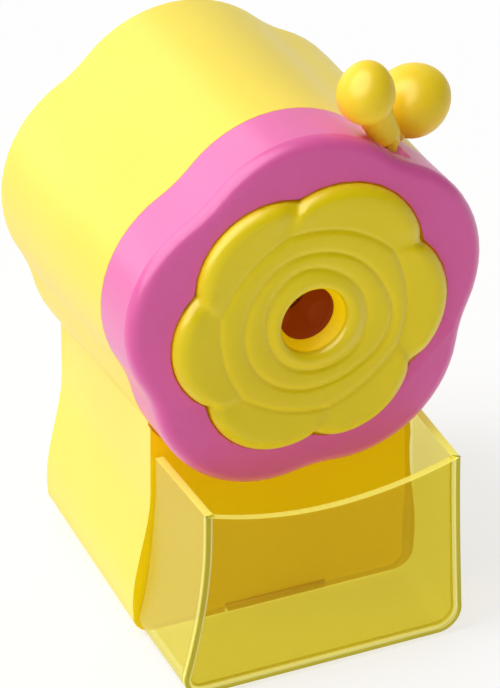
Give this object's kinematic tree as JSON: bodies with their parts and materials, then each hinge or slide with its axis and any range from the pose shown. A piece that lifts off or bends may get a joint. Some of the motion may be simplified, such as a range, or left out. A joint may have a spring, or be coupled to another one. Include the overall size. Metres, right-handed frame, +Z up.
{
  "type": "pencil sharpener",
  "caption": "Hand-cranked desk pencil sharpener shaped like a lobed flower, with a pull-out feed head, pinch levers and a clear shavings bin.",
  "frame": {"origin": "on the desk, at the middle of the object's footprint", "axes": "+Z up; +X to the right seen from the front; +Y from the front to the back, along the pencil"},
  "size_m": [0.0841, 0.1112, 0.1344],
  "materials": {
    "body_plastic": "satin moulded lemon yellow",
    "rose_plastic": "satin moulded yellow, slightly deeper than the body",
    "head_plastic": "satin moulded pink",
    "knob_plastic": "satin moulded pink",
    "grip_plastic": "glossy golden yellow",
    "clear_plastic": "clear yellow-tinted plastic",
    "dark_plastic": "matt black plastic",
    "amber_plastic": "matt amber-brown plastic",
    "steel": "bright zinc-plated steel",
    "dark_steel": "hardened tool steel",
    "brass": "plain turned brass",
    "rubber": "matt dark grey rubber"
  },
  "bodies": {
    "body": {"body_shell": "body_plastic", "rear_cover": "body_plastic", "cover_screw_1": "steel", "cover_screw_2": "steel", "cover_screw_3": "steel", "cover_screw_4": "steel", "base_plate": "body_plastic", "rubber_foot_1": "rubber", "rubber_foot_2": "rubber", "rubber_foot_3": "rubber", "rubber_foot_4": "rubber", "base_screw_1": "steel", "base_screw_2": "steel", "base_screw_3": "steel", "base_screw_4": "steel", "shavings_chute": "dark_plastic", "ring_gear": "steel", "crank_bush": "brass", "rod_bush_left": "brass", "rod_bush_right": "brass", "feed_spring_left": "steel", "feed_spring_right": "steel"},
    "head": {"head_cover": "head_plastic", "rose_plate": "rose_plastic", "head_plate": "dark_plastic", "jaw_guide": "amber_plastic", "chuck_screw_1": "steel", "chuck_screw_2": "steel", "chuck_screw_3": "steel", "guide_rod_left": "steel", "guide_rod_right": "steel", "rod_clip_left": "dark_steel", "rod_clip_right": "dark_steel", "lever_spring": "steel"},
    "left_lever": {"left_lever": "grip_plastic", "left_ball_grip": "grip_plastic"},
    "right_lever": {"right_lever": "grip_plastic", "right_ball_grip": "grip_plastic"},
    "jaw_1": {"jaw_1": "amber_plastic"},
    "jaw_2": {"jaw_2": "amber_plastic"},
    "jaw_3": {"jaw_3": "amber_plastic"},
    "crank": {"cutter_carrier": "dark_plastic", "cutter_axle": "steel", "crank_shaft": "steel", "crank_arm": "body_plastic", "crank_screw": "steel", "knob_pin": "steel"},
    "cutter": {"helical_cutter": "dark_steel", "cutter_pinion": "dark_steel"},
    "knob": {"crank_knob": "knob_plastic"},
    "bin": {"clear_bin": "clear_plastic"}
  },
  "joints": [
    {"name": "crank_spin", "type": "hinge", "parent": "body", "child": "crank", "pos_m": [0, 0.02765, 0.0812], "axis": [0, 1, 0], "continuous": true},
    {"name": "cutter_spin", "type": "hinge", "parent": "crank", "child": "cutter", "pos_m": [0, 0.00415, 0.07654], "axis": [0, 0.9877, 0.1564], "continuous": true},
    {"name": "knob_spin", "type": "hinge", "parent": "crank", "child": "knob", "pos_m": [0, 0.04415, 0.0512], "axis": [0, 1, 0], "continuous": true},
    {"name": "head_slide", "type": "slide", "parent": "body", "child": "head", "axis": [0, -1, 0], "range_m": [0, 0.028], "stiffness_N_per_m": 120, "springref_m": -0.02, "deforming": ["feed_spring_left", "feed_spring_right"]},
    {"name": "left_lever_squeeze", "type": "hinge", "parent": "head", "child": "left_lever", "pos_m": [0, -0.0391, 0.0812], "axis": [0, 1, 0], "range_deg": [0, 3], "stiffness_Nm_per_rad": 0.3, "springref_deg": -11.46, "deforming": ["lever_spring"]},
    {"name": "right_lever_squeeze", "type": "hinge", "parent": "head", "child": "right_lever", "pos_m": [0, -0.0322, 0.0812], "axis": [0, -1, 0], "range_deg": [0, 3], "stiffness_Nm_per_rad": 0.3, "springref_deg": -11.46},
    {"name": "jaw_1_slide", "type": "slide", "parent": "head", "child": "jaw_1", "axis": [0, 0, 1], "range_m": [0, 0.0012]},
    {"name": "jaw_2_slide", "type": "slide", "parent": "head", "child": "jaw_2", "axis": [-0.866, 0, -0.5], "range_m": [0, 0.0012]},
    {"name": "jaw_3_slide", "type": "slide", "parent": "head", "child": "jaw_3", "axis": [0.866, 0, -0.5], "range_m": [0, 0.0012]},
    {"name": "bin_slide", "type": "slide", "parent": "body", "child": "bin", "axis": [0, -1, 0], "range_m": [0, 0.045]}
  ],
  "couplings": [
    {"joint": "cutter_spin", "follows": "crank_spin", "ratio": -3.25},
    {"joint": "right_lever_squeeze", "follows": "left_lever_squeeze", "ratio": 1},
    {"joint": "jaw_1_slide", "follows": "left_lever_squeeze", "m_per_rad": 0.022918},
    {"joint": "jaw_2_slide", "follows": "left_lever_squeeze", "m_per_rad": 0.022918},
    {"joint": "jaw_3_slide", "follows": "left_lever_squeeze", "m_per_rad": 0.022918}
  ]
}
